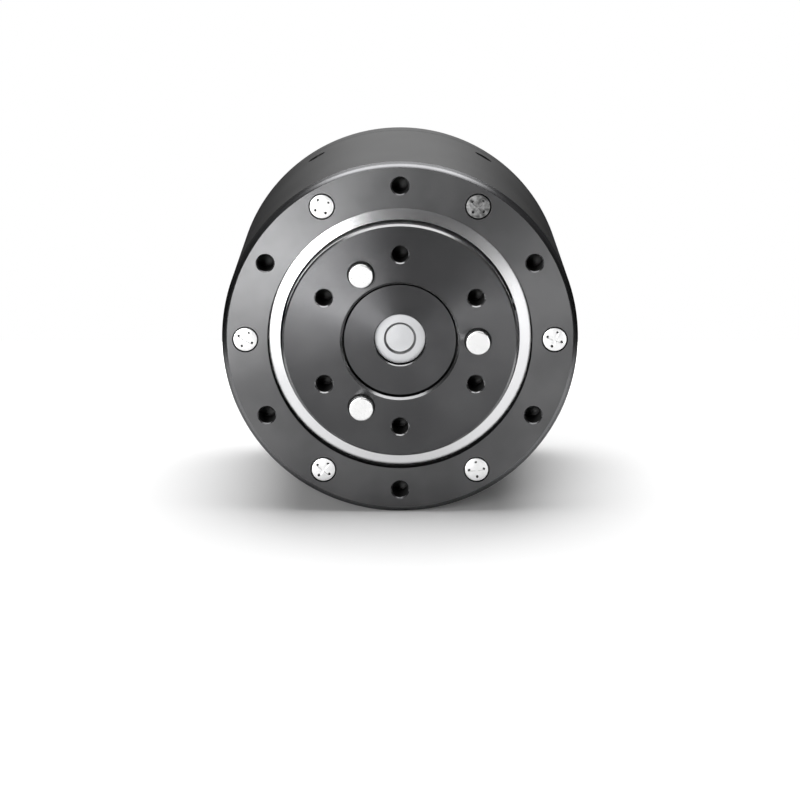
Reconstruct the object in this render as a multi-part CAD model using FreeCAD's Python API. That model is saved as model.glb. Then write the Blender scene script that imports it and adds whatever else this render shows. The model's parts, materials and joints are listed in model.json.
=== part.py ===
# Robot joint actuator: a brushless motor and a two-stage planetary gearbox in one round housing.
# Millimetres. The axis of turning is Y, the output looks towards -Y, and +Z is up.
# The origin is the centre of the front mounting face.
# Angles are counted from +X towards +Z, so they grow counter-clockwise as seen from the front.
import math
import os

import FreeCAD, Part

from FreeCAD import Vector

os.makedirs("parts", exist_ok=True)

# Housing
body_radius = 26.5
body_length = 43.0
edge_chamfer = 0.5
housing_wall = 2.1
cover_length = 4.5
bearing_recess = 1.1

# Fits and clearances
seat_gap = 0.02
running_gap = 0.05
end_gap = 0.3
air_gap = 0.4

# Mounting holes, tapped M3 in the housing and in the output
mount_circle_inset = 3.5
mount_hole_radius = 1.25
mount_hole_depth = 5.0
output_circle_inset = 4.5
output_hole_depth = 5.5
hole_count = 6

# Flush screws, shown to the depth of their heads
screw_head_radius = 1.8
screw_pocket_radius = 1.95
screw_head_depth = 1.2
side_pocket_radius = 1.5
side_pocket_depth = 0.9
side_pocket_from_rear = 10.0

# Output bearing
bearing_inset = 3.35
bearing_width = 5.0
bearing_ring_wall = 1.85
bearing_gap = 0.3

# Output flange, its centre plug and its bush
output_proud = 1.2
output_chamfer = 0.3
pin_to_plug_wall = 1.15
plug_bore_chamfer = 0.4
plug_gap = 0.15
plug_recess = 0.82
plug_seat_depth = 1.6
plug_thickness = 4.2
bush_seat_chamfer = 0.16
bush_radius = 3.8
bush_recess = 1.3
bush_length = 2.8
bush_bore_chamfer = 0.3

# Gear train: two equal stages that share one ring gear
ring_gear_wall = 4.5
sun_teeth = 11
planet_teeth = 22
planet_count = 3
pressure_angle = 20.0
profile_shift = 0.35
root_clearance = 0.25
backlash = 0.08
output_planet_width = 5.0
input_planet_width = 3.5
output_pin_radius = 1.8
output_pin_proud = 1.6
input_pin_radius = 1.5
carrier_thickness = 1.6
carrier_arm_margin = 3.05
carrier_arm_half_angle = 14.0
sun_wall = 0.95
sun_bore_gap = 0.2
ring_tail = 0.6

# Rotor
shaft_recess = 0.33
shaft_shoulder = 0.93
rotor_gap = 0.8
rotor_rim = 1.2
rotor_web = 1.6
magnet_count = 14
magnet_thickness = 1.1
magnet_fill = 0.88

# Stator
stator_teeth = 12
stator_bore_radius = 7.5
stator_hub_radius = 10.0
stator_tooth_width = 3.2
stator_tip_thickness = 1.2
stator_tip_fill = 0.86
coil_thickness = 1.9
coil_overhang = 0.9
coil_gap = 0.15
coil_end_gap = 0.7

# Motor plate and the shaft's bearings
plate_thickness = 4.0
bearing_bore_radius = 5.5
bearing_length = 4.0
encoder_magnet_radius = 3.0
encoder_magnet_length = 1.2

# Driver board behind the motor plate
board_sides = 12
board_edge_gap = 0.09
board_thickness = 1.2
board_standoff_height = 2.8
board_standoff_inset = 3.5
board_to_cover = 3.2
standoff_across = 4.0
chip_size = 4.0
chip_height = 0.8
transistor_count = 6
transistor_inset = 5.3
transistor_size = (3.3, 3.3, 1.0)
capacitor_size = 4.0
capacitor_height = 2.4
capacitor_spread = 3.0
capacitor_inset = 7.0

# Rear cover and its sockets
cover_wall = 3.4
cover_floor = 2.0
cover_screw_inset = 2.7
cover_screw_count = 3
pillar_across = 4.0
socket_gap = 0.15
socket_depth = 3.2
socket_recess = 0.4
power_socket_size = (12.4, 6.4)
power_socket_wall = 0.9
power_socket_place = (0.0, -9.5)
contact_size = (2.0, 1.0)
contact_spacing = 5.0
signal_socket_size = (8.6, 4.2)
signal_socket_wall = 0.6
signal_socket_places = ((-6.8, 1.6), (6.8, 1.6))
signal_pin_count = 4
signal_pin_spacing = 1.5
signal_pin_width = 0.5

# Gear sizes. The ring gear's wall and the housing's bore set the module
bore_radius = body_radius - housing_wall
ring_teeth = sun_teeth + 2 * planet_teeth
ring_root_radius = bore_radius - seat_gap - ring_gear_wall
modules_to_root = (sun_teeth + planet_teeth) / 2 + planet_teeth / 2 + 1 - profile_shift + root_clearance
module = ring_root_radius / modules_to_root
centre_distance = module * (sun_teeth + planet_teeth) / 2
addendum = module
dedendum = (1 + root_clearance) * module
shift = profile_shift * module
sun_pitch_radius = module * sun_teeth / 2
planet_pitch_radius = module * planet_teeth / 2
sun_root_radius = sun_pitch_radius - dedendum + shift
sun_tip_radius = sun_pitch_radius + addendum + shift
planet_root_radius = planet_pitch_radius - dedendum - shift
planet_tip_radius = planet_pitch_radius + addendum - shift
ring_tip_radius = centre_distance + planet_root_radius + root_clearance * module
shift_width = 2 * shift * math.tan(math.radians(pressure_angle))
sun_tooth_width = module * math.pi / 2 + shift_width - backlash / 2
planet_tooth_width = module * math.pi / 2 - shift_width - backlash / 2
ring_space_width = module * math.pi / 2 - shift_width + backlash / 2

# Round sizes, from the outside in
mount_circle_radius = body_radius - mount_circle_inset
bearing_outer_radius = mount_circle_radius - bearing_inset
bearing_inner_radius = bearing_outer_radius - bearing_ring_wall
output_radius = bearing_inner_radius - bearing_gap
output_circle_radius = output_radius - output_circle_inset
plug_bore_radius = centre_distance - output_pin_radius - pin_to_plug_wall
plug_radius = plug_bore_radius - plug_gap
shaft_radius = sun_root_radius - sun_wall - sun_bore_gap
shaft_shoulder_radius = shaft_radius + shaft_shoulder
rotor_radius = bore_radius - rotor_gap
cavity_radius = body_radius - cover_wall
cover_screw_circle = cavity_radius - cover_screw_inset
board_radius = cover_screw_circle - pillar_across / math.sqrt(3) - board_edge_gap
board_standoff_circle = board_radius - board_standoff_inset
transistor_circle = board_standoff_circle - transistor_inset

# Places along the axis: the gearbox from the front, the board and the motor plate from the rear
front_wall = bearing_recess + bearing_width
output_front = -output_proud
output_rear = front_wall + end_gap
output_planet_front = output_rear + end_gap
output_planet_rear = output_planet_front + output_planet_width
carrier_front = output_planet_rear + end_gap
carrier_rear = carrier_front + carrier_thickness
input_planet_front = carrier_rear + end_gap
input_planet_rear = input_planet_front + input_planet_width
ring_gear_rear = input_planet_rear + ring_tail
plug_front = output_front + plug_recess
bush_front = plug_front + bush_recess
shaft_front = bush_front + shaft_recess
cover_front = body_length - cover_length
cover_inside = body_length - cover_floor
board_rear = cover_inside - board_to_cover
board_front = board_rear - board_thickness
plate_rear = board_front - board_standoff_height
plate_front = plate_rear - plate_thickness
rotor_front = ring_gear_rear + 2 * end_gap
rotor_rear = plate_front - 2 * end_gap
tube_front = rotor_front + rotor_web + end_gap
stator_front = rotor_front + rotor_web + coil_end_gap + coil_overhang
stator_rear = plate_front - coil_end_gap - coil_overhang

planet_angles = [i * 360.0 / planet_count for i in range(planet_count)]
hole_angles = [90.0 + i * 360.0 / hole_count for i in range(hole_count)]
screw_angles = [i * 360.0 / hole_count for i in range(hole_count)]
cover_screw_angles = [90.0 + i * 360.0 / cover_screw_count for i in range(cover_screw_count)]

AXIS = Vector(0, 1, 0)
CENTRE = Vector(0, 0, 0)


def polar(radius, angle, y):
    turn = math.radians(angle)
    return Vector(radius * math.cos(turn), y, radius * math.sin(turn))


def turned(points):
    """A solid turned about the axis from (radius, y) points."""
    corners = [Vector(radius, y, 0) for radius, y in points]
    face = Part.Face(Part.makePolygon(corners + corners[:1]))
    return face.revolve(CENTRE, AXIS, 360)


def rod(radius, y_from, y_to, centre=(0.0, 0.0)):
    start = Vector(centre[0], y_from, centre[1])
    return Part.makeCylinder(radius, y_to - y_from, start, AXIS)


def rod_at(radius, y_from, y_to, circle, angle):
    return Part.makeCylinder(radius, y_to - y_from, polar(circle, angle, y_from), AXIS)


def tube(outer, inner, y_from, y_to):
    return turned([(inner, y_from), (outer, y_from), (outer, y_to), (inner, y_to)])


def prism(points, y_from, y_to):
    """A solid with an outline of (x, z) points."""
    corners = [Vector(x, y_from, z) for x, z in points]
    face = Part.Face(Part.makePolygon(corners + corners[:1]))
    return face.extrude(Vector(0, y_to - y_from, 0))


def block(size_x, size_z, y_from, y_to, centre=(0.0, 0.0)):
    corner = Vector(centre[0] - size_x / 2, y_from, centre[1] - size_z / 2)
    return Part.makeBox(size_x, y_to - y_from, size_z, corner)


def around(shape, angles):
    """Copies of a shape, turned from angle 0 to each of the angles."""
    copies = []
    for angle in angles:
        copy = shape.copy()
        copy.rotate(CENTRE, -AXIS, angle)
        copies.append(copy)
    return copies


def hexagon(across, circle, angle):
    """Corner points of a hexagonal pillar whose middle is on a circle."""
    middle = polar(circle, angle, 0)
    corner = across / math.sqrt(3)
    turns = [math.radians(angle + 30 + 60 * i) for i in range(6)]
    return [(middle.x + corner * math.cos(t), middle.z + corner * math.sin(t)) for t in turns]


def save(name, *shapes):
    shape = shapes[0] if len(shapes) == 1 else Part.makeCompound(list(shapes))
    shape.exportStep("parts/" + name + ".step")


def involute(angle):
    return math.tan(angle) - angle


def half_tooth(radius, pitch_radius, width):
    """Half the angle that an involute tooth of this width at the pitch circle takes at a radius."""
    flank = math.radians(pressure_angle)
    base_radius = pitch_radius * math.cos(flank)
    there = math.acos(min(1.0, base_radius / max(radius, base_radius)))
    return width / (2 * pitch_radius) + involute(flank) - involute(there)


def gear_outline(teeth, inner_radius, outer_radius, width, phase, centre=(0.0, 0.0)):
    """Points of a gear whose first tooth points at the phase angle, in degrees.

    The spaces of an internal gear have the same form as the teeth of an external one.
    """
    pitch_radius = module * teeth / 2
    rising = [(r, -half_tooth(r, pitch_radius, width)) for r in (inner_radius, outer_radius)]
    falling = [(r, -half) for r, half in reversed(rising)]
    points = []
    for i in range(teeth):
        middle = math.radians(phase + i * 360.0 / teeth)
        for radius, half in rising + falling:
            x = centre[0] + radius * math.cos(middle + half)
            z = centre[1] + radius * math.sin(middle + half)
            points.append((x, z))
    return points


def planet_phase(angle):
    """The angle of a planet's first tooth, in mesh with a sun whose first tooth points at 0."""
    sun_turn = angle * sun_teeth / 360.0
    return angle + 180.0 - 360.0 / planet_teeth * (0.5 - sun_turn)


def ring_phase():
    """The angle of a space of the ring gear, in mesh with the planet at angle 0."""
    planet_turn = -planet_phase(0.0) * planet_teeth / 360.0
    return -360.0 / ring_teeth * planet_turn


def make_housing():
    body = turned([
        (bearing_outer_radius, 0), (body_radius - edge_chamfer, 0), (body_radius, edge_chamfer),
        (body_radius, cover_front), (bore_radius, cover_front), (bore_radius, front_wall),
        (bearing_outer_radius, front_wall),
    ])
    hole = rod(mount_hole_radius, 0, mount_hole_depth, (mount_circle_radius, 0))
    pocket = rod(screw_pocket_radius, 0, screw_head_depth, (mount_circle_radius, 0))
    start = Vector(body_radius - side_pocket_depth, body_length - side_pocket_from_rear, 0)
    side_pocket = Part.makeCylinder(side_pocket_radius, housing_wall, start, Vector(1, 0, 0))
    cuts = around(hole, hole_angles) + around(pocket, screw_angles) + around(side_pocket, screw_angles)
    save("housing", body.cut(cuts))


def make_ring_gear():
    outside = rod(bore_radius - seat_gap, front_wall, ring_gear_rear)
    spaces = gear_outline(ring_teeth, ring_tip_radius, ring_root_radius, ring_space_width, ring_phase())
    save("ring_gear", outside.cut(prism(spaces, front_wall - 1, ring_gear_rear + 1)))


def make_output_bearing():
    """The outer ring. The inner race is ground on the rim of the output flange."""
    outer_radius = bearing_outer_radius - seat_gap
    save("output_bearing", tube(outer_radius, bearing_inner_radius, bearing_recess, front_wall))


def make_front_screws():
    head = rod(screw_head_radius, 0, screw_head_depth, (mount_circle_radius, 0))
    save("front_screws", *around(head, screw_angles))


def make_output_flange():
    plug_seat = plug_front + plug_seat_depth
    seat_radius = plug_radius + seat_gap
    flange = turned([
        (plug_bore_radius + plug_bore_chamfer, output_front),
        (output_radius - output_chamfer, output_front), (output_radius, output_front + output_chamfer),
        (output_radius, output_rear), (seat_radius, output_rear), (seat_radius, plug_seat),
        (plug_bore_radius, plug_seat), (plug_bore_radius, output_front + plug_bore_chamfer),
    ])
    hole_end = output_front + output_hole_depth
    hole = rod(mount_hole_radius, output_front, hole_end, (output_circle_radius, 0))
    pin_hole = rod(output_pin_radius + seat_gap, output_front, output_rear, (centre_distance, 0))
    save("output_flange", flange.cut(around(hole, hole_angles) + around(pin_hole, planet_angles)))


def make_output_pins():
    first = output_front - output_pin_proud
    last = output_planet_rear + end_gap / 2
    pins = [rod_at(output_pin_radius, first, last, centre_distance, angle) for angle in planet_angles]
    save("output_planet_pins", *pins)


def make_centre_plug():
    bore = bush_radius + seat_gap
    plug_rear = plug_front + plug_thickness
    save("centre_plug", turned([
        (bore + bush_seat_chamfer, plug_front), (plug_radius, plug_front), (plug_radius, plug_rear),
        (bore, plug_rear), (bore, plug_front + bush_seat_chamfer),
    ]))


def make_centre_bush():
    bore = shaft_radius + running_gap
    bush_rear = bush_front + bush_length
    save("centre_bush", turned([
        (bore + bush_bore_chamfer, bush_front), (bush_radius, bush_front), (bush_radius, bush_rear),
        (bore, bush_rear), (bore, bush_front + bush_bore_chamfer),
    ]))


def make_planets(stage, y_from, y_to, pin_radius):
    for number, angle in enumerate(planet_angles, start=1):
        middle = polar(centre_distance, angle, 0)
        centre = (middle.x, middle.z)
        outline = gear_outline(
            planet_teeth, planet_root_radius, planet_tip_radius, planet_tooth_width,
            planet_phase(angle), centre,
        )
        bore = rod(pin_radius + running_gap, y_from - 1, y_to + 1, centre)
        save(f"{stage}_planet_{number}", prism(outline, y_from, y_to).cut(bore))


def sun_gear(y_from, y_to, margin=0.0):
    """A sun gear's full form. A margin widens it, for a seat that the gear fits into."""
    width = sun_tooth_width + 2 * margin
    outline = gear_outline(sun_teeth, sun_root_radius + margin, sun_tip_radius + margin, width, 0.0)
    return prism(outline, y_from, y_to)


def make_sun_gears():
    bore = rod(shaft_radius + sun_bore_gap, output_planet_front - 1, carrier_rear + 1)
    save("output_sun_gear", sun_gear(output_planet_front, carrier_rear).cut(bore))
    bore = rod(shaft_radius + seat_gap, input_planet_front - 1, input_planet_rear + 1)
    save("input_sun_gear", sun_gear(input_planet_front, input_planet_rear).cut(bore))


def make_input_carrier():
    """A three-armed plate with the input planets' pins, seated on the teeth of the output sun gear."""
    arm_radius = centre_distance + carrier_arm_margin
    turns = [angle + side * carrier_arm_half_angle for angle in planet_angles for side in (-1, 1)]
    corners = [polar(arm_radius, turn, 0) for turn in turns]
    plate = prism([(c.x, c.z) for c in corners], carrier_front, carrier_rear)
    pin_rear = input_planet_rear + end_gap
    pins = [rod_at(input_pin_radius, carrier_front, pin_rear, centre_distance, a) for a in planet_angles]
    seat = sun_gear(carrier_front - 1, carrier_rear + 1, seat_gap)
    save("input_carrier", plate.fuse(pins).removeSplitter().cut(seat))


def make_rotor_shaft():
    shoulder = input_planet_rear + end_gap / 2
    save("rotor_shaft", turned([
        (0, shaft_front), (shaft_radius, shaft_front), (shaft_radius, shoulder),
        (shaft_shoulder_radius, shoulder), (shaft_shoulder_radius, plate_rear), (0, plate_rear),
    ]))


def make_rotor_bell():
    bore = shaft_shoulder_radius + seat_gap
    web_rear = rotor_front + rotor_web
    inner_radius = rotor_radius - rotor_rim
    save("rotor_bell", turned([
        (bore, rotor_front), (rotor_radius, rotor_front), (rotor_radius, rotor_rear),
        (inner_radius, rotor_rear), (inner_radius, web_rear), (bore, web_rear),
    ]))


def magnet_half_width():
    return magnet_fill * math.pi * (rotor_radius - rotor_rim - magnet_thickness) / magnet_count


def magnet_inner_radius():
    """The flat magnets touch the bell at their outer corners."""
    inner_radius = rotor_radius - rotor_rim - seat_gap
    return math.sqrt(inner_radius ** 2 - magnet_half_width() ** 2) - magnet_thickness


def make_rotor_magnets():
    inner = magnet_inner_radius()
    y_from = rotor_front + rotor_web
    middle = (inner + magnet_thickness / 2, 0)
    magnet = block(magnet_thickness, 2 * magnet_half_width(), y_from, rotor_rear - end_gap, middle)
    save("rotor_magnets", *around(magnet, [i * 360.0 / magnet_count for i in range(magnet_count)]))


def stator_outline():
    """Teeth with wide tips on a round hub, as (x, z) points."""
    outer = magnet_inner_radius() - air_gap
    half = stator_tooth_width / 2
    tip_half = stator_tip_fill * math.pi / stator_teeth
    neck = outer - stator_tip_thickness
    profile = [
        (math.hypot(stator_hub_radius, half), -math.atan2(half, stator_hub_radius)),
        (math.hypot(neck, half), -math.atan2(half, neck)),
        (outer - stator_tip_thickness / 2, -tip_half),
        (outer, -tip_half),
        (outer, 0.0),
    ]
    mirrored = [(r, -a) for r, a in reversed(profile[:-1])]
    points = []
    for i in range(stator_teeth):
        middle = 2 * math.pi * i / stator_teeth
        points += [(r * math.cos(middle + a), r * math.sin(middle + a)) for r, a in profile + mirrored]
    return points


def make_stator():
    bore = rod(stator_bore_radius + seat_gap, stator_front - 1, stator_rear + 1)
    save("stator_core", prism(stator_outline(), stator_front, stator_rear).cut(bore))


def make_coils():
    """One coil round each stator tooth, between the hub and the tip."""
    first = stator_hub_radius + 4 * coil_gap
    last = magnet_inner_radius() - air_gap - stator_tip_thickness - coil_gap
    middle = ((first + last) / 2, 0)
    inner_width = stator_tooth_width + 2 * coil_gap
    room = 2 * (first * math.tan(math.pi / stator_teeth) - coil_gap)
    outer_width = min(inner_width + 2 * coil_thickness, room)
    coil_front = stator_front - coil_overhang
    coil_rear = stator_rear + coil_overhang
    outside = block(last - first, outer_width, coil_front, coil_rear, middle)
    inside = block(last - first + 2, inner_width, stator_front - coil_gap, stator_rear + coil_gap, middle)
    coil = outside.cut(inside)
    save("stator_coils", *around(coil, [i * 360.0 / stator_teeth for i in range(stator_teeth)]))


def make_motor_plate():
    """The plate that closes the motor and carries the stator and both shaft bearings on its tube."""
    seat = bearing_bore_radius + seat_gap
    save("motor_plate", turned([
        (seat, tube_front), (stator_bore_radius, tube_front), (stator_bore_radius, plate_front),
        (bore_radius - seat_gap, plate_front), (bore_radius - seat_gap, plate_rear), (seat, plate_rear),
    ]))


def make_shaft_bearings():
    bore = shaft_shoulder_radius + running_gap
    save("front_shaft_bearing", tube(bearing_bore_radius, bore, tube_front, tube_front + bearing_length))
    save("rear_shaft_bearing", tube(bearing_bore_radius, bore, plate_rear - bearing_length, plate_rear))


def make_encoder_magnet():
    save("encoder_magnet", rod(encoder_magnet_radius, plate_rear, plate_rear + encoder_magnet_length))


def make_driver_board():
    corners = [polar(board_radius, i * 360.0 / board_sides, 0) for i in range(board_sides)]
    save("driver_board", prism([(c.x, c.z) for c in corners], board_front, board_rear))
    standoffs = [
        prism(hexagon(standoff_across, board_standoff_circle, angle), plate_rear, board_front)
        for angle in cover_screw_angles
    ]
    save("board_standoffs", *standoffs)
    save("encoder_chip", block(chip_size, chip_size, board_front - chip_height, board_front))
    width, depth, height = transistor_size
    transistor = block(width, depth, board_front - height, board_front, (transistor_circle, 0))
    turns = [30.0 + i * 360.0 / transistor_count for i in range(transistor_count)]
    save("power_transistors", *around(transistor, turns))
    top = board_rear + capacitor_height
    place_z = board_radius - capacitor_inset
    capacitors = [
        block(capacitor_size, capacitor_size, board_rear, top, (side * capacitor_spread, place_z))
        for side in (-1, 1)
    ]
    save("capacitors", *capacitors)


def make_cover_pillars():
    pillars = [
        prism(hexagon(pillar_across, cover_screw_circle, angle), plate_rear, cover_inside)
        for angle in cover_screw_angles
    ]
    save("cover_pillars", *pillars)


def make_rear_cover():
    cover = turned([
        (0, cover_inside), (cavity_radius, cover_inside), (cavity_radius, cover_front),
        (body_radius, cover_front), (body_radius, body_length - edge_chamfer),
        (body_radius - edge_chamfer, body_length), (0, body_length),
    ])
    pocket_front = body_length - screw_head_depth
    cuts = [
        rod_at(screw_pocket_radius, pocket_front, body_length, cover_screw_circle, angle)
        for angle in cover_screw_angles
    ]
    cuts.append(socket_body(power_socket_size, power_socket_place, socket_gap, body_length + 1))
    for place in signal_socket_places:
        cuts.append(socket_body(signal_socket_size, place, socket_gap, body_length + 1))
    save("rear_cover", cover.cut(cuts))


def make_cover_screws():
    first = body_length - screw_head_depth
    head = rod(screw_head_radius, first, body_length, (cover_screw_circle, 0))
    save("rear_cover_screws", *around(head, cover_screw_angles))


def socket_body(size, place, margin, y_to):
    return block(size[0] + 2 * margin, size[1] + 2 * margin, board_rear, y_to, place)


def make_power_socket():
    """A two-pole socket: a moulded shell on the board with two flat contacts inside."""
    mouth = body_length - socket_recess
    size_x, size_z = power_socket_size
    inner = (size_x - 2 * power_socket_wall, size_z - 2 * power_socket_wall)
    shell = socket_body(power_socket_size, power_socket_place, 0, mouth)
    cavity = block(inner[0], inner[1], mouth - socket_depth, mouth + 1, power_socket_place)
    save("power_socket", shell.cut(cavity))
    x, z = power_socket_place
    width, thickness = contact_size
    first = mouth - socket_depth
    last = mouth - power_socket_wall
    contacts = [
        block(width, thickness, first, last, (x + side * contact_spacing / 2, z)) for side in (-1, 1)
    ]
    save("power_contacts", *contacts)


def make_signal_sockets():
    """Two small sockets for the data lines, each with a row of square pins."""
    mouth = body_length - socket_recess
    shells = []
    pins = []
    size_x, size_z = signal_socket_size
    inner = (size_x - 2 * signal_socket_wall, size_z - 2 * signal_socket_wall)
    for place in signal_socket_places:
        shell = socket_body(signal_socket_size, place, 0, mouth)
        cavity = block(inner[0], inner[1], mouth - socket_depth, mouth + 1, place)
        shells.append(shell.cut(cavity))
        for i in range(signal_pin_count):
            x = place[0] + (i - (signal_pin_count - 1) / 2) * signal_pin_spacing
            top = mouth - signal_socket_wall
            pin_place = (x, place[1])
            pins.append(block(signal_pin_width, signal_pin_width, mouth - socket_depth, top, pin_place))
    save("signal_sockets", *shells)
    save("signal_pins", *pins)


make_housing()
make_ring_gear()
make_output_bearing()
make_front_screws()
make_output_flange()
make_output_pins()
make_centre_plug()
make_centre_bush()
make_planets("output", output_planet_front, output_planet_rear, output_pin_radius)
make_planets("input", input_planet_front, input_planet_rear, input_pin_radius)
make_sun_gears()
make_input_carrier()
make_rotor_shaft()
make_rotor_bell()
make_rotor_magnets()
make_stator()
make_coils()
make_motor_plate()
make_shaft_bearings()
make_encoder_magnet()
make_driver_board()
make_cover_pillars()
make_rear_cover()
make_cover_screws()
make_power_socket()
make_signal_sockets()
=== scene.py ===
import json
import math

import bmesh
import bpy
from mathutils import Matrix, Vector


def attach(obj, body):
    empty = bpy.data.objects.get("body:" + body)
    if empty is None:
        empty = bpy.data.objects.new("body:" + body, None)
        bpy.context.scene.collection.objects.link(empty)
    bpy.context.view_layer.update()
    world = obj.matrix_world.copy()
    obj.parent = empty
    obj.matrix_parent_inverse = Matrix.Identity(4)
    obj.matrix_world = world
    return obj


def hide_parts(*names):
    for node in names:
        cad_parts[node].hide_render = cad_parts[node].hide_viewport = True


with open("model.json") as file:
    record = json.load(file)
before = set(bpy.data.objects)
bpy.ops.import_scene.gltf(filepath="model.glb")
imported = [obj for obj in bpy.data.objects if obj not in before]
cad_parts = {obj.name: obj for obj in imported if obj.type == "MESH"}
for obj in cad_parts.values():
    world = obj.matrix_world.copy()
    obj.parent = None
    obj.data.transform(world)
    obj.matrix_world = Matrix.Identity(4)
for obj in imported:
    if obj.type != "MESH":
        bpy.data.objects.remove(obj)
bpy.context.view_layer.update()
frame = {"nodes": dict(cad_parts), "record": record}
nodes = frame["nodes"]
mm = 0.001

# Sizes that several pieces share, in millimetres and degrees
body = {"radius": 26.5, "length": 43.0, "seam": 38.5, "seamEdge": 0.18, "bore": 24.4, "seat": 19.67, "wallRear": 6.1}
sixth = [60 * i for i in range(6)]
threads = {"core": 1.25, "crest": 1.46, "pitch": 0.5, "mouth": 1.42, "above": 0.4, "tip": 0.5, "steps": 36}
housingHoles = {"circle": 23.0, "angles": [90 + angle for angle in sixth], "depth": 5.0}
outputHoles = {"circle": 13.0, "angles": [90 + angle for angle in sixth], "depth": 5.5}
frontScrews = {"circle": 23.0, "angles": sixth, "turns": [20, 12, 0, 28, 8, 24], "paintedShadeAt": 60, "sunk": 0.04}
coverScrews = {"circle": 20.4, "angles": [90, 210, 330], "turns": [10, 31, 20], "sunk": 0.04}
screwPockets = {"radius": 1.95, "depth": 1.2, "above": 0.5, "steps": 48}
sideHoles = {"fromRear": 10.0, "angles": sixth}
planetPins = {"circle": 11.55, "angles": [0, 120, 240]}


# Camera and light

def buildCamera():
    view = {"distance": 402.0, "above": 11.35, "pitch": 12.63, "lens": 121.7, "near": 0.01, "far": 20}
    camera = bpy.data.objects.new("camera", bpy.data.cameras.new("camera"))
    bpy.context.scene.collection.objects.link(camera)
    rise = math.radians(view["above"])
    camera.location = (0, -view["distance"] * math.cos(rise) * mm, view["distance"] * math.sin(rise) * mm)
    camera.rotation_euler = (math.radians(90 - view["pitch"]), 0, 0)
    camera.data.lens = view["lens"]
    camera.data.clip_start = view["near"]
    camera.data.clip_end = view["far"]
    bpy.context.scene.camera = camera


def softbox(name, place, target, size, power):
    light = bpy.data.lights.new(name, "AREA")
    light.shape = "RECTANGLE"
    light.size, light.size_y = size
    light.energy = power
    lamp = bpy.data.objects.new(name, light)
    lamp.location = place
    lamp.rotation_euler = (Vector(target) - Vector(place)).to_track_quat("-Z", "Y").to_euler()
    bpy.context.scene.collection.objects.link(lamp)


# Places and sizes in metres, power in watts
def buildLights():
    lamps = {
        "topLight": {"place": (0.0, 0.14, 0.60), "target": (0, 0.02, 0), "size": (0.80, 0.80), "power": 4.0},
        "rearLight": {"place": (0.0, 0.20, 0.60), "target": (0, 0, 0), "size": (0.60, 0.46), "power": 1.8},
        "keyLeft": {"place": (-0.31, -0.60, 0.16), "target": (0, 0, 0.02), "size": (0.46, 0.32), "power": 1.95},
        "lowLeft": {"place": (-0.30, -0.63, 0.045), "target": (0, 0, 0), "size": (0.34, 0.12), "power": 1.5},
        "lowRight": {"place": (0.34, -0.62, 0.03), "target": (0, 0, 0), "size": (0.20, 0.08), "power": 0.35},
    }
    for name, lamp in lamps.items():
        softbox(name, **lamp)


# Shader maths

class Wire:
    def __init__(self, tree, socket=None):
        self.tree = tree
        self.socket = socket

    def node(self, kind, settings=None, inputs=None, output=0):
        made = self.tree.nodes.new(kind)
        for name, value in (settings or {}).items():
            setattr(made, name, value)
        for name, value in (inputs or {}).items():
            if isinstance(value, Wire):
                self.tree.links.new(value.socket, made.inputs[name])
            else:
                made.inputs[name].default_value = value
        return Wire(self.tree, made.outputs[output] if len(made.outputs) else None)

    def maths(self, operation, *values):
        return self.node("ShaderNodeMath", {"operation": operation}, dict(enumerate(values)))

    def vector(self, operation, *values):
        return self.node("ShaderNodeVectorMath", {"operation": operation}, dict(enumerate((self,) + values)))

    def parts(self):
        split = self.node("ShaderNodeSeparateXYZ", None, {0: self}).socket.node
        return [Wire(self.tree, socket) for socket in split.outputs]

    def __add__(self, other):
        return self.maths("ADD", self, other)

    def __radd__(self, other):
        return self.maths("ADD", other, self)

    def __sub__(self, other):
        return self.maths("SUBTRACT", self, other)

    def __rsub__(self, other):
        return self.maths("SUBTRACT", other, self)

    def __mul__(self, other):
        return self.maths("MULTIPLY", self, other)

    def scaled(self, amount):
        return self.node("ShaderNodeVectorMath", {"operation": "SCALE"}, {0: self, "Scale": amount})

    # 0 below the low value, 1 above the high one, and smooth between them
    def step(self, low, high):
        return self.node("ShaderNodeMapRange", {"interpolation_type": "SMOOTHSTEP"},
                         {"Value": self, "From Min": low, "From Max": high})

    # The Mix node has sockets for each kind of data, and 6, 7 and output 2 are those for colours
    def blend(self, first, second):
        return self.node("ShaderNodeMix", {"data_type": "RGBA"}, {0: self, 6: first, 7: second}, 2)

    def asGrey(self):
        return self.node("ShaderNodeCombineColor", None, {0: self, 1: self, 2: self})


def newMaterial(name):
    material = bpy.data.materials.new(name)
    material.use_nodes = True
    material.node_tree.nodes.clear()
    return material, Wire(material.node_tree)


def finishMaterial(wire, inputs):
    shader = wire.node("ShaderNodeBsdfPrincipled", None, inputs)
    wire.node("ShaderNodeOutputMaterial", None, {"Surface": shader})


def rgb(red, green, blue):
    return (red, green, blue, 1.0)


def grey(level):
    return rgb(level, level, level)


def objectPlace(wire):
    return wire.node("ShaderNodeTexCoord", None, None, "Object")


def noise(wire, place, scale, detail):
    return wire.node("ShaderNodeTexNoise", None, {"Vector": place, "Scale": scale, "Detail": detail})


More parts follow.
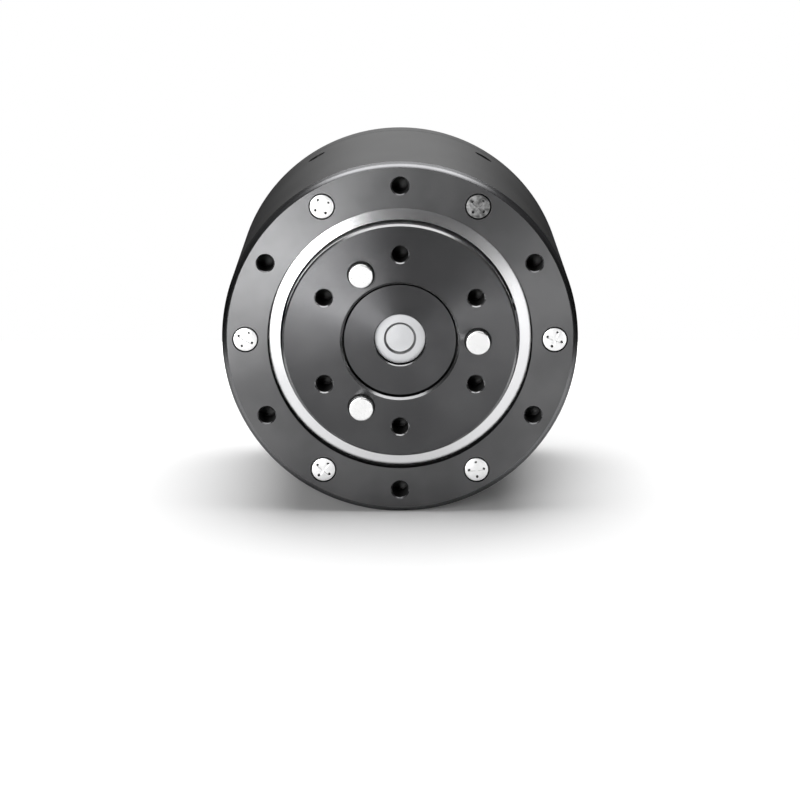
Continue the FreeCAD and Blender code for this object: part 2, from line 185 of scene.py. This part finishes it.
# Metal turned on a lathe: fine marks run round the Y axis over faces, walls and chamfers alike. Its grooves tilt the
# normal by the spread, which is less on walls than on faces, and a face is dished by a small slope outwards
def turnedMetal(name, look):
    grooves = {"pitch": 0.061, "detail": 3.0}
    clouds = {"scale": 90.0, "detail": 3.0, "from": 0.35, "to": 0.65, "roughness": 0.04}
    material, wire = newMaterial(name)
    place = objectPlace(wire)
    x, y, z = place.parts()
    radius = wire.maths("SQRT", x * x + z * z)
    across = (radius + y) * (1 / mm)
    around = wire.node("ShaderNodeCombineXYZ", None, {0: z * -1.0, 2: x})
    toWorld = {"vector_type": "VECTOR", "convert_from": "OBJECT", "convert_to": "WORLD"}
    around = wire.node("ShaderNodeVectorTransform", toWorld, {0: around}).vector("NORMALIZE")
    plain = wire.node("ShaderNodeNewGeometry", None, None, "Normal")
    outwards = around.vector("CROSS_PRODUCT", plain)
    marks = wire.node("ShaderNodeTexNoise", {"noise_dimensions": "1D"},
                      {"W": across * look["markRate"], "Detail": grooves["detail"]})
    fine = wire.maths("SINE", across * (2 * math.pi / grooves["pitch"]))
    facing = plain.parts()[1] * -1.0
    depth = wire.maths("ABSOLUTE", facing) * (look["spread"] - look["wallSpread"]) + look["wallSpread"]
    tilt = fine * depth + (marks - 0.5) * look["marks"] + facing * look["dish"]
    bent = plain.vector("ADD", outwards.scaled(tilt)).vector("NORMALIZE")
    cloud = noise(wire, place, clouds["scale"], clouds["detail"])
    colour = cloud.step(clouds["from"], clouds["to"]).blend(rgb(*look["dark"]), rgb(*look["light"]))
    rough = look["roughness"] + (cloud - 0.5) * clouds["roughness"]
    finishMaterial(wire, {"Base Color": colour, "Metallic": 1.0, "Roughness": rough, "Normal": bent,
                          "Specular Tint": grey(look["grazing"])})
    return material


# Metal with grain in no direction: cast, plated, blasted or cut
def plainMetal(name, look):
    grains = {"detail": 2.0, "roughness": 0.12, "depth": 0.02 * mm}
    clouds = {"detail": 3.0, "from": 0.3, "to": 0.7}
    material, wire = newMaterial(name)
    place = objectPlace(wire)
    cloud = noise(wire, place, look["cloud"], clouds["detail"])
    grain = noise(wire, place, look["grain"], grains["detail"])
    colour = cloud.step(clouds["from"], clouds["to"]).blend(rgb(*look["dark"]), rgb(*look["light"]))
    rough = look["roughness"] + (grain - 0.5) * grains["roughness"]
    bump = wire.node("ShaderNodeBump", None, {"Height": grain, "Strength": look["bump"], "Distance": grains["depth"]})
    finishMaterial(wire, {"Base Color": colour, "Metallic": 1.0, "Roughness": rough, "Normal": bump})
    return material


# Moulded plastic, board and lacquer, and the painted shade of bores and gaps
def plastic(name, look):
    grains = {"scale": 6000.0, "detail": 1.0, "strength": 0.3, "depth": 0.02 * mm}
    clouds = {"scale": 160.0, "detail": 3.0, "from": 0.3, "to": 0.7, "roughness": 0.1}
    material, wire = newMaterial(name)
    place = objectPlace(wire)
    cloud = noise(wire, place, clouds["scale"], clouds["detail"])
    grain = noise(wire, place, grains["scale"], grains["detail"])
    colour = cloud.step(clouds["from"], clouds["to"]).blend(rgb(*look["dark"]), rgb(*look["light"]))
    bump = wire.node("ShaderNodeBump", None,
                     {"Height": grain, "Strength": grains["strength"], "Distance": grains["depth"]})
    rough = look["roughness"] + (cloud - 0.5) * clouds["roughness"]
    finishMaterial(wire, {"Base Color": colour, "Roughness": rough, "Normal": bump,
                          "Specular IOR Level": look.get("gloss", 0.5)})
    return material


housingMetal = turnedMetal("housingMetal", {
    "dark": (0.090, 0.090, 0.092), "light": (0.112, 0.112, 0.114), "roughness": 0.31, "grazing": 0.75,
    "markRate": 1.3, "spread": 0.12, "wallSpread": 0.03, "marks": 0.05, "dish": 0.105})
outputMetal = turnedMetal("outputMetal", {
    "dark": (0.066, 0.066, 0.068), "light": (0.082, 0.082, 0.084), "roughness": 0.25, "grazing": 0.75,
    "markRate": 1.3, "spread": 0.22, "wallSpread": 0.04, "marks": 0.05, "dish": 0.12})
plugMetal = turnedMetal("plugMetal", {
    "dark": (0.055, 0.055, 0.057), "light": (0.070, 0.070, 0.072), "roughness": 0.25, "grazing": 0.75,
    "markRate": 1.6, "spread": 0.15, "wallSpread": 0.04, "marks": 0.06, "dish": 0.06})
# A lighter copy of the dark turned metal for chamfers: painted highlight on the edges
edgeHighlightMetal = turnedMetal("edgeHighlightMetal", {
    "dark": (0.32, 0.32, 0.325), "light": (0.36, 0.36, 0.365), "roughness": 0.22, "grazing": 0.75,
    "markRate": 2.0, "spread": 0.05, "wallSpread": 0.05, "marks": 0.03, "dish": 0.0})
# A lighter copy of the housing metal for its rim chamfers and thread mouths: painted highlight
rimHighlightMetal = turnedMetal("rimHighlightMetal", {
    "dark": (0.165, 0.165, 0.17), "light": (0.185, 0.185, 0.19), "roughness": 0.25, "grazing": 0.75,
    "markRate": 2.0, "spread": 0.05, "wallSpread": 0.05, "marks": 0.03, "dish": 0.0})
ringSteel = turnedMetal("ringSteel", {
    "dark": (0.71, 0.71, 0.72), "light": (0.75, 0.75, 0.76), "roughness": 0.16, "grazing": 1.0,
    "markRate": 2.0, "spread": 0.04, "wallSpread": 0.05, "marks": 0.015, "dish": 0.105})
bushMetal = turnedMetal("bushMetal", {
    "dark": (0.48, 0.485, 0.495), "light": (0.52, 0.525, 0.535), "roughness": 0.34, "grazing": 1.0,
    "markRate": 2.0, "spread": 0.04, "wallSpread": 0.04, "marks": 0.04, "dish": 0.02})
shadedMetal = plainMetal("shadedMetal", {
    "dark": (0.26, 0.26, 0.265), "light": (0.32, 0.32, 0.325), "roughness": 0.4,
    "cloud": 300.0, "grain": 3000.0, "bump": 0.2})
# Near black for the insides of tapped holes and screw pockets: painted shade in the hollows
holeShadeBlack = plastic("holeShadeBlack", {
    "dark": (0.012, 0.012, 0.012), "light": (0.02, 0.02, 0.02), "roughness": 0.35, "gloss": 0.25})
# Dull black for the walls between parts: painted shade in the gaps
gapShadeBlack = plastic("gapShadeBlack", {
    "dark": (0.006, 0.006, 0.006), "light": (0.01, 0.01, 0.01), "roughness": 0.9, "gloss": 0.0})
# Bright steel for the output disc's outer wall: painted reflection of the bearing ring
raceSteel = plainMetal("raceSteel", {
    "dark": (0.55, 0.55, 0.56), "light": (0.62, 0.62, 0.63), "roughness": 0.4,
    "cloud": 300.0, "grain": 3000.0, "bump": 0.1})
pinSteel = plainMetal("pinSteel", {
    "dark": (0.75, 0.75, 0.75), "light": (0.79, 0.79, 0.79), "roughness": 0.26,
    "cloud": 400.0, "grain": 5000.0, "bump": 0.1})
screwSteel = plainMetal("screwSteel", {
    "dark": (0.73, 0.73, 0.73), "light": (0.80, 0.80, 0.80), "roughness": 0.34,
    "cloud": 900.0, "grain": 5000.0, "bump": 0.05})
# Dark steel for one front screw head: painted shade, darker than the other heads
paintedShadeSteel = plainMetal("paintedShadeSteel", {
    "dark": (0.06, 0.06, 0.06), "light": (0.22, 0.22, 0.22), "roughness": 0.38,
    "cloud": 1500.0, "grain": 4000.0, "bump": 0.6})
# Black oxide for the set screws, also the black of the screw heads' pits: painted shade in them
blackOxideAndPitShade = plainMetal("blackOxideAndPitShade", {
    "dark": (0.03, 0.03, 0.03), "light": (0.06, 0.06, 0.06), "roughness": 0.45,
    "cloud": 500.0, "grain": 5000.0, "bump": 0.3})


# Mesh helpers

# A shape turned about the Y axis. The outline's points are (radius, y), and bevels are {point: (size, steps)}
def lathe(points, bevels=None, steps=192, closed=True):
    weld = 1e-7
    shape = bmesh.new()
    outline = [shape.verts.new((radius * mm, y * mm, 0)) for radius, y in points]
    for first, second in zip(outline, outline[1:] + (outline[:1] if closed else [])):
        shape.edges.new((first, second))
    for number, (size, segments) in (bevels or {}).items():
        bmesh.ops.bevel(shape, geom=[outline[number]], affect="VERTICES", offset=size * mm, offset_type="OFFSET",
                        segments=segments, profile=0.5, material=-1)
    bmesh.ops.spin(shape, geom=shape.verts[:] + shape.edges[:], cent=(0, 0, 0), axis=(0, 1, 0), dvec=(0, 0, 0),
                   angle=2 * math.pi, steps=steps, use_merge=True, use_duplicate=False)
    bmesh.ops.remove_doubles(shape, verts=shape.verts[:], dist=weld)
    bmesh.ops.recalc_face_normals(shape, faces=shape.faces[:])
    return shape


# Corner 0 is at the bore's front and corner 1 at the rim's front
def ringOutline(size):
    return [(size["inner"], size["front"]), (size["outer"], size["front"]),
            (size["outer"], size["rear"]), (size["inner"], size["rear"])]


def rod(radius, low, high, steps):
    return lathe([(0, low), (radius, low), (radius, high), (0, high)], steps=steps, closed=False)


# A box, whose edges are rounded all round or only where they run along Y
def block(sizeX, sizeZ, low, high, centre=(0.0, 0.0), bevel=0.0, alongY=False):
    shape = bmesh.new()
    bmesh.ops.create_cube(shape, size=1.0)
    bmesh.ops.scale(shape, verts=shape.verts[:], vec=(sizeX * mm, (high - low) * mm, sizeZ * mm))
    moved(shape, centre[0], (low + high) / 2, centre[1])
    if bevel:
        edges = [edge for edge in shape.edges if not alongY or runsAlongY(edge)]
        bmesh.ops.bevel(shape, geom=edges, affect="EDGES", offset=bevel * mm, offset_type="OFFSET", segments=3,
                        profile=0.5, material=-1)
    return shape


def runsAlongY(edge):
    start, end = edge.verts
    return abs((start.co - end.co).normalized().y) > 0.9


def moved(shape, x, y, z):
    bmesh.ops.translate(shape, verts=shape.verts[:], vec=(x * mm, y * mm, z * mm))
    return shape


def turned(shape, degrees, axis):
    matrix = Matrix.Rotation(math.radians(degrees), 3, axis)
    bmesh.ops.rotate(shape, verts=shape.verts[:], cent=(0, 0, 0), matrix=matrix)
    return shape


# Copies of a shape turned about the Y axis, from +X towards +Z, to each of the angles
def repeated(shape, angles, circle=0, spins=None):
    made = bmesh.new()
    for number, angle in enumerate(angles):
        copy = shape.copy()
        if spins:
            turned(copy, spins[number], "Y")
        joinInto(made, turned(moved(copy, circle, 0, 0), -angle, "Y"))
    return made


def onCircle(places, shape, spins=None):
    return repeated(shape, places["angles"], places["circle"], spins)


def joinInto(target, extra):
    mesh = bpy.data.meshes.new("joined")
    extra.to_mesh(mesh)
    extra.free()
    target.from_mesh(mesh)
    bpy.data.meshes.remove(mesh)


# Faces are given a number here, which is the place of their material in the piece's list
def painted(shape, number):
    for face in shape.faces:
        face.material_index = number
    return shape


# The faces between two radii that lean to the Y axis by the given amounts: 0 is a wall, and 1 a flat face
def bandPainted(shape, number, inner, outer, lean=(0.3, 0.95)):
    shape.normal_update()
    for face in shape.faces:
        middle = face.calc_center_median()
        if inner * mm < math.hypot(middle.x, middle.z) < outer * mm and lean[0] <= abs(face.normal.y) < lean[1]:
            face.material_index = number
    return shape


def wallPainted(shape, number, radius, inner=None):
    size = {"margin": 0.1, "lean": (0, 0.1)}
    inner = radius - size["margin"] if inner is None else inner
    return bandPainted(shape, number, inner, radius + size["margin"], size["lean"])


# Normals of the exact turned form, so that holes cut into it leave no streaks in the shading. The front edge of the
# housing is shaded as a rounding: from the wall's direction at its rear to one that leans forward
def turnedNormals(piece, radius, edge=0):
    limits = {"flat": 0.999, "wall": 0.01, "near": 0.05, "frontLean": 54}
    mesh = piece.data
    normals = [Vector(corner.vector) for corner in mesh.corner_normals]
    for face in mesh.polygons:
        steep = abs(face.normal.y)
        onEdge = face.center.y < edge * mm and math.hypot(face.center.x, face.center.z) > (radius - edge) * mm
        for corner in face.loop_indices:
            place = mesh.vertices[mesh.loops[corner].vertex_index].co
            outward = Vector((place.x, 0, place.z)).normalized()
            if steep > limits["flat"]:
                normals[corner] = Vector((0, math.copysign(1, face.normal.y), 0))
            elif steep < limits["wall"] and abs(math.hypot(place.x, place.z) - radius * mm) < limits["near"] * mm:
                normals[corner] = outward
            elif edge and onEdge:
                lean = math.radians(0 if place.y > edge / 2 * mm else limits["frontLean"])
                normals[corner] = outward * math.cos(lean) + Vector((0, -math.sin(lean), 0))
    mesh.normals_split_custom_set(normals)


# The empty slots keep the faces' material numbers through a cut
def toObject(name, shape, slots=4):
    mesh = bpy.data.meshes.new(name)
    for _ in range(slots):
        mesh.materials.append(None)
    shape.to_mesh(mesh)
    shape.free()
    piece = bpy.data.objects.new(name, mesh)
    bpy.context.scene.collection.objects.link(piece)
    return piece


def discard(piece):
    mesh = piece.data
    bpy.data.objects.remove(piece)
    bpy.data.meshes.remove(mesh)


# Cuts closed shapes out of a closed shape
def carved(shape, *cutters):
    target = toObject("target", shape)
    for cutter in cutters:
        tool = toObject("tool", cutter)
        cut = target.modifiers.new("cut", "BOOLEAN")
        cut.operation = "DIFFERENCE"
        cut.solver = "EXACT"
        cut.object = tool
        bpy.context.view_layer.update()
        result = target.evaluated_get(bpy.context.evaluated_depsgraph_get())
        made = bmesh.new()
        made.from_mesh(result.to_mesh())
        result.to_mesh_clear()
        target.modifiers.remove(cut)
        made.to_mesh(target.data)
        made.free()
        discard(tool)
    made = bmesh.new()
    made.from_mesh(target.data)
    discard(target)
    return made


def addPiece(name, shape, rides, materials, standsFor=(), sharp=28):
    piece = toObject(name, shape, 0)
    for material in materials:
        piece.data.materials.append(material)
    piece.data.shade_smooth()
    piece.data.set_sharp_from_angle(angle=math.radians(sharp))
    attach(piece, rides)
    if standsFor:
        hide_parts(*standsFor)
    print("made", name, len(piece.data.polygons), "faces")
    return piece


# A cutter for a tapped hole: ridges at the thread's pitch, and a small chamfer at the mouth. Its bore is number 1,
# painted near black as shade, and its chamfer number 2, painted lighter as a highlight
def threadCutter(depth):
    chamferLean = (0.69, 0.72)
    y = threads["mouth"] - threads["core"]
    outline = [(0, -threads["above"]), (threads["mouth"], -threads["above"]), (threads["mouth"], 0),
               (threads["core"], y)]
    while y + threads["pitch"] < depth:
        outline += [(threads["crest"], y + threads["pitch"] / 2), (threads["core"], y + threads["pitch"])]
        y += threads["pitch"]
    outline += [(threads["core"], depth), (0, depth + threads["tip"])]
    shape = painted(lathe(outline, steps=threads["steps"], closed=False), 1)
    return bandPainted(shape, 2, threads["core"], threads["mouth"], chamferLean)


# Fixed pieces seen from the front

def buildHousing():
    size = {"edge": 0.8, "boreEdge": 0.06, "rim": 1, "pocket": 1.5, "pocketDepth": 0.9, "above": 0.5, "steps": 40}
    paint = {"bore": 1, "rim": 2, "gapShade": 3}
    outline = [(body["seat"], 0), (body["radius"], 0), (body["radius"], body["seam"]), (body["bore"], body["seam"]),
               (body["bore"], body["wallRear"]), (body["seat"], body["wallRear"])]
    shape = lathe(outline, {0: (size["boreEdge"], 1), 1: (size["edge"], 1), 2: (body["seamEdge"], 2)})
    # The chamfers at the rim's front and at the seam get the lighter metal: painted highlight
    bandPainted(shape, paint["rim"], body["radius"] - size["rim"], body["radius"])
    # The seat wall behind the bearing ring is painted dull black: painted shade in the gap
    wallPainted(shape, paint["gapShade"], body["seat"])
    holes = onCircle(housingHoles, threadCutter(housingHoles["depth"]))
    # The pockets' insides get number 1, near black: painted shade
    front = rod(screwPockets["radius"], -screwPockets["above"], screwPockets["depth"], screwPockets["steps"])
    frontPockets = onCircle(frontScrews, painted(front, paint["bore"]))
    side = turned(rod(size["pocket"], -size["above"], size["pocketDepth"], size["steps"]), 90, "Z")
    moved(side, body["radius"], body["length"] - sideHoles["fromRear"], 0)
    sidePockets = repeated(painted(side, paint["bore"]), sideHoles["angles"])
    shell = addPiece("housingShell", carved(shape, holes, frontPockets, sidePockets), "stationary",
                     [housingMetal, holeShadeBlack, rimHighlightMetal, gapShadeBlack], ["housing"])
    turnedNormals(shell, body["radius"], size["edge"])


def buildBearingRing():
    size = {"outer": 19.65, "inner": 17.8, "front": 1.1, "rear": 6.1, "edge": 0.06}
    shape = lathe(ringOutline(size), {0: (size["edge"], 1), 1: (size["edge"], 1)})
    addPiece("bearingRing", shape, "stationary", [ringSteel], ["output_bearing"])


# A flush screw head with a cross recess, its face at y = 0 and looking towards -Y. The four pits are number 1, painted
# black as shade in them
def screwHead():
    size = {"radius": 1.8, "depth": 1.2, "edge": 0.16, "steps": 40, "above": 0.4, "arm": 2.3, "width": 0.42,
            "armDepth": 0.22, "pit": 0.19, "pitDepth": 0.55, "pitPlace": 1.12, "pitSteps": 12}
    outline = [(0, 0), (size["radius"], 0), (size["radius"], size["depth"]), (0, size["depth"])]
    head = lathe(outline, {1: (size["edge"], 3)}, size["steps"], False)
    arms = [block(*sides, -size["above"], size["armDepth"])
            for sides in ((size["arm"], size["width"]), (size["width"], size["arm"]))]
    pit = painted(rod(size["pit"], -size["above"], size["pitDepth"], size["pitSteps"]), 1)
    return carved(head, *arms, repeated(pit, [0, 90, 180, 270], size["pitPlace"]))


def buildFrontScrews():
    paint = {"face": 0, "paintedShadeHead": 2}
    headReach = 3
    shape = onCircle(frontScrews, moved(screwHead(), 0, frontScrews["sunk"], 0), frontScrews["turns"])
    # One head, at the angle given in frontScrews, gets the dark steel: painted shade on that screw head
    paintedShadeHead = math.radians(frontScrews["paintedShadeAt"])
    paintedShadeX, paintedShadeZ = frontScrews["circle"] * math.cos(paintedShadeHead), frontScrews["circle"] * math.sin(paintedShadeHead)
    for face in shape.faces:
        middle = face.calc_center_median()
        offset = math.hypot(middle.x / mm - paintedShadeX, middle.z / mm - paintedShadeZ)
        if offset < headReach and face.material_index == paint["face"]:
            face.material_index = paint["paintedShadeHead"]
    addPiece("frontScrewHeads", shape, "stationary", [screwSteel, blackOxideAndPitShade, paintedShadeSteel], ["front_screws"],
             20)


# Set screws at the bottom of the side pockets
def buildSideScrews():
    size = {"radius": 1.42, "below": 0.25, "length": 0.6, "steps": 36, "hex": 0.75, "hexDepth": 0.4, "above": 0.2}
    screw = carved(rod(size["radius"], 0, size["length"], size["steps"]),
                   rod(size["hex"], -size["above"], size["hexDepth"], 6))
    moved(turned(screw, 90, "Z"), body["radius"] - size["below"], body["length"] - sideHoles["fromRear"], 0)
    addPiece("sideScrews", repeated(screw, sideHoles["angles"]), "stationary", [blackOxideAndPitShade])


# The turning output

def buildOutputFlange():
    size = {"face": -1.2, "rear": 6.4, "radius": 17.5, "edge": 0.3, "bore": 8.6, "seat": 8.47, "seatFront": 1.22,
            "boreEdge": 0.34, "pinHole": 1.82, "mouth": 2.05, "mouthDepth": 0.6, "cutFront": -2, "cutRear": 8,
            "steps": 40}
    paint = {"bore": 1, "edge": 2, "gapShade": 3, "race": 4}
    outline = [(size["bore"], size["face"]), (size["radius"], size["face"]), (size["radius"], size["rear"]),
               (size["seat"], size["rear"]), (size["seat"], size["seatFront"]), (size["bore"], size["seatFront"])]
    shape = lathe(outline, {0: (size["boreEdge"], 1), 1: (size["edge"], 1)})
    # The chamfers get the lighter metal: painted highlight
    bandPainted(shape, paint["edge"], size["bore"], size["bore"] + size["boreEdge"])
    bandPainted(shape, paint["edge"], size["radius"] - size["edge"], size["radius"])
    # The bore wall round the plug is painted dull black: painted shade in the gap
    wallPainted(shape, paint["gapShade"], size["bore"])
    # The outer wall gets the bright steel: painted reflection of the ring
    wallPainted(shape, paint["race"], size["radius"])
    holes = onCircle(outputHoles, moved(threadCutter(outputHoles["depth"]), 0, size["face"], 0))
    mouthRear = size["face"] + size["mouthDepth"]
    mouth = lathe([(0, size["cutFront"]), (size["mouth"], size["cutFront"]), (size["mouth"], mouthRear),
                   (size["pinHole"], mouthRear), (size["pinHole"], size["cutRear"]), (0, size["cutRear"])],
                  steps=size["steps"], closed=False)
    # The pin holes' mouths get number 1, near black: painted shade
    shape = carved(shape, holes, onCircle(planetPins, painted(mouth, paint["bore"])))
    disc = addPiece("outputDisc", shape, "output", [outputMetal, holeShadeBlack, edgeHighlightMetal, gapShadeBlack, raceSteel],
                    ["output_flange"])
    turnedNormals(disc, size["radius"])


# The point within the face keeps its shading flat up to the rounded edge
def buildPins():
    size = {"radius": 1.8, "flat": 1.55, "front": -2.8, "rear": 11.85, "edge": 0.22, "steps": 48}
    outline = [(0, size["front"]), (size["flat"], size["front"]), (size["radius"], size["front"]),
               (size["radius"], size["rear"]), (0, size["rear"])]
    pin = lathe(outline, {2: (size["edge"], 3), 3: (size["edge"], 2)}, size["steps"], False)
    addPiece("planetPins", onCircle(planetPins, pin), "output", [pinSteel], ["output_planet_pins"])


def buildPlug():
    size = {"inner": 3.82, "outer": 8.36, "front": -0.38, "rear": 3.82, "edge": 0.06, "boreEdge": 0.16, "steps": 128}
    paint = {"edge": 1, "gapShade": 2}
    shape = lathe(ringOutline(size), {0: (size["boreEdge"], 1), 1: (size["edge"], 1)}, size["steps"])
    # The bore's chamfer gets the lighter metal: painted highlight
    bandPainted(shape, paint["edge"], size["inner"], size["inner"] + size["boreEdge"])
    # The plug's walls are painted dull black: painted shade in the gaps
    wallPainted(shape, paint["gapShade"], size["outer"], 0)
    addPiece("plugDisc", shape, "output", [plugMetal, edgeHighlightMetal, gapShadeBlack], ["centre_plug"])


def buildBush():
    size = {"inner": 2.12, "outer": 3.8, "front": 0.92, "rear": 3.72, "edge": 0.05, "boreEdge": 0.3, "steps": 96}
    shape = lathe(ringOutline(size), {0: (size["boreEdge"], 1), 1: (size["edge"], 1)}, size["steps"])
    bandPainted(shape, 1, size["inner"], size["inner"] + size["boreEdge"])
    addPiece("bushRing", shape, "output", [bushMetal, shadedMetal], ["centre_bush"])


# The rear

def buildRearCover():
    size = {"inside": 41.0, "cavity": 23.1, "edge": 0.5, "cutFront": 40, "cutRear": 44}
    power = {"width": 12.7, "height": 6.7, "place": (0, -9.5), "corner": 0.5}
    signal = {"width": 8.9, "height": 4.5, "left": (-6.8, 1.6), "right": (6.8, 1.6), "corner": 0.4}
    outline = [(0, size["inside"]), (size["cavity"], size["inside"]), (size["cavity"], body["seam"]),
               (body["radius"], body["seam"]), (body["radius"], body["length"]), (0, body["length"])]
    shape = lathe(outline, {3: (body["seamEdge"], 2), 4: (size["edge"], 2)}, closed=False)
    pocket = rod(screwPockets["radius"], body["length"] - screwPockets["depth"],
                 body["length"] + screwPockets["above"], screwPockets["steps"])
    openings = block(power["width"], power["height"], size["cutFront"], size["cutRear"],
                     power["place"], power["corner"], True)
    for side in ("left", "right"):
        joinInto(openings, block(signal["width"], signal["height"], size["cutFront"], size["cutRear"],
                                 signal[side], signal["corner"], True))
    # The screw pockets get number 1, near black: painted shade
    shape = carved(shape, onCircle(coverScrews, painted(pocket, 1)), openings)
    lid = addPiece("rearLid", shape, "stationary", [housingMetal, holeShadeBlack], ["rear_cover"])
    turnedNormals(lid, body["radius"])


def buildCoverScrews():
    head = moved(turned(screwHead(), 180, "X"), 0, body["length"] - coverScrews["sunk"], 0)
    addPiece("coverScrewHeads", onCircle(coverScrews, head, coverScrews["turns"]), "stationary",
             [screwSteel, blackOxideAndPitShade], ["rear_cover_screws"], 20)


# Finishes of the pieces that keep their own form

def finishNodes():
    finishes = {
        "gear_steel": plainMetal("gearSteel", {
            "dark": (0.42, 0.42, 0.44), "light": (0.52, 0.52, 0.54), "roughness": 0.32,
            "cloud": 300.0, "grain": 4000.0, "bump": 0.2}),
        "bearing_steel": ringSteel,
        "pin_steel": bushMetal,
        "core_steel": plainMetal("coreSteel", {
            "dark": (0.12, 0.13, 0.15), "light": (0.20, 0.21, 0.23), "roughness": 0.5,
            "cloud": 400.0, "grain": 3000.0, "bump": 0.4}),
        "magnet": plainMetal("nickel", {
            "dark": (0.60, 0.59, 0.57), "light": (0.70, 0.69, 0.67), "roughness": 0.22,
            "cloud": 300.0, "grain": 4000.0, "bump": 0.1}),
        "copper": plainMetal("windingWire", {
            "dark": (0.58, 0.22, 0.08), "light": (0.80, 0.36, 0.16), "roughness": 0.3,
            "cloud": 900.0, "grain": 2500.0, "bump": 0.8}),
        "plate_aluminium": turnedMetal("plateAluminium", {
            "dark": (0.62, 0.62, 0.63), "light": (0.72, 0.72, 0.73), "roughness": 0.34, "grazing": 1.0,
            "markRate": 1.3, "spread": 0.15, "wallSpread": 0.05, "marks": 0.05, "dish": 0.0}),
        "board": plastic("boardLacquer", {
            "dark": (0.01, 0.08, 0.035), "light": (0.02, 0.13, 0.06), "roughness": 0.35}),
        "black_plastic": plastic("chipPlastic", {
            "dark": (0.012, 0.012, 0.012), "light": (0.03, 0.03, 0.03), "roughness": 0.55}),
        "power_plastic": plastic("powerPlastic", {
            "dark": (0.62, 0.42, 0.03), "light": (0.75, 0.52, 0.06), "roughness": 0.45}),
        "socket_plastic": plastic("socketPlastic", {
            "dark": (0.60, 0.57, 0.48), "light": (0.70, 0.67, 0.58), "roughness": 0.45}),
        "contact": plainMetal("goldPlate", {
            "dark": (0.78, 0.55, 0.20), "light": (0.90, 0.68, 0.30), "roughness": 0.25,
            "cloud": 500.0, "grain": 4000.0, "bump": 0.1}),
        "housing_aluminium": housingMetal,
        "output_aluminium": outputMetal,
        "bush_aluminium": bushMetal,
        "screw_steel": screwSteel,
    }
    for subpart in frame["record"]["subparts"]:
        piece = nodes[subpart["node"]]
        piece.data.materials.clear()
        piece.data.materials.append(finishes[subpart["material_slot"]])


# Surroundings

# A pale table that is dark beside the object and glows ahead of it. Away from the object it is white in the picture.
# The zones are where each begins and where it is full, in metres from the object's middle
def buildFloor():
    size = {"level": -26.52, "left": -600.0, "right": 600.0, "front": -1400.0, "rear": 130.0}
    zones = {"side": (0.07, 0.12), "sideFront": (-0.06, -0.02), "ahead": (0.035, 0.09), "left": (0.035, 0.085),
             "right": (0.02, 0.07), "away": (0.07, 0.12)}
    levels = {"left": 2.4, "right": 0.8, "rightSlant": 0.15, "near": 0.03}
    look = {"low": 0.92, "high": 0.94, "dark": 0.04, "cloud": 6.0, "detail": 2.0, "roughness": 0.9, "gloss": 0.1}
    shape = bmesh.new()
    bmesh.ops.create_grid(shape, x_segments=1, y_segments=1, size=0.5)
    bmesh.ops.scale(shape, verts=shape.verts[:],
                    vec=((size["right"] - size["left"]) * mm, (size["rear"] - size["front"]) * mm, 1))
    moved(shape, (size["left"] + size["right"]) / 2, (size["front"] + size["rear"]) / 2, size["level"])
    floor = toObject("floor", shape, 0)
    material, wire = newMaterial("paleFloor")
    seen = wire.node("ShaderNodeLightPath", None, None, "Is Camera Ray")
    place = objectPlace(wire)
    x, y = place.parts()[:2]
    pale = noise(wire, place, look["cloud"], look["detail"]).blend(grey(look["low"]), grey(look["high"]))
    beside = wire.maths("ABSOLUTE", x).step(*zones["side"]) * y.step(*zones["sideFront"])
    colour = beside.blend(pale, grey(look["dark"]))
    ahead = (y * -1.0).step(*zones["ahead"])
    left = (x * -1.0).step(*zones["left"]) * levels["left"]
    right = (x + y * levels["rightSlant"]).step(*zones["right"]) * levels["right"]
    away = wire.maths("SQRT", x * x + y * y).step(*zones["away"])
    glow = seen * (away + levels["near"]) + (left + right) * ahead
    finishMaterial(wire, {"Base Color": colour, "Roughness": look["roughness"], "Specular IOR Level": look["gloss"],
                          "Emission Color": glow.asGrey(), "Emission Strength": 1.0})
    floor.data.materials.append(material)


# White behind everything in the picture. Metal and glass see the same white where a backdrop stands behind the object,
# and a dark room elsewhere. The directions are parts of a unit vector
def buildWorld():
    directions = {"rear": (0.5, 0.95), "foot": (0.02, 0.195), "top": (0.4, 0.6), "side": (0.08, 0.28),
                  "ceiling": (0.2, 0.8)}
    levels = {"room": 0.03, "ceiling": 0.12, "sideFade": 0.45}
    world = bpy.data.worlds.new("studio")
    bpy.context.scene.world = world
    world.use_nodes = True
    world.node_tree.nodes.clear()
    wire = Wire(world.node_tree)
    seen, glossy, passed = [wire.node("ShaderNodeLightPath", None, None, kind)
                            for kind in ("Is Camera Ray", "Is Glossy Ray", "Is Transmission Ray")]
    x, y, z = wire.node("ShaderNodeTexCoord", None, None, "Generated").parts()
    behind = y.step(*directions["rear"]) * z.step(*directions["foot"]) * (1.0 - z.step(*directions["top"]))
    backdrop = behind * (1.0 - wire.maths("ABSOLUTE", x).step(*directions["side"]) * levels["sideFade"])
    room = levels["room"] + z.step(*directions["ceiling"]) * levels["ceiling"]
    shown = seen + (glossy + passed) * backdrop
    colour = shown.blend(room.asGrey(), grey(1))
    background = wire.node("ShaderNodeBackground", None, {"Color": colour, "Strength": 1.0})
    wire.node("ShaderNodeOutputWorld", None, {"Surface": background})


buildCamera()
buildLights()
buildWorld()
buildFloor()
bpy.context.scene.view_settings.view_transform = "Standard"
print("camera, light and floor are set")
finishNodes()
print("materials are on the plain pieces")
buildHousing()
buildBearingRing()
buildFrontScrews()
buildSideScrews()
buildOutputFlange()
buildPins()
buildPlug()
buildBush()
buildRearCover()
buildCoverScrews()
print("all pieces are made")
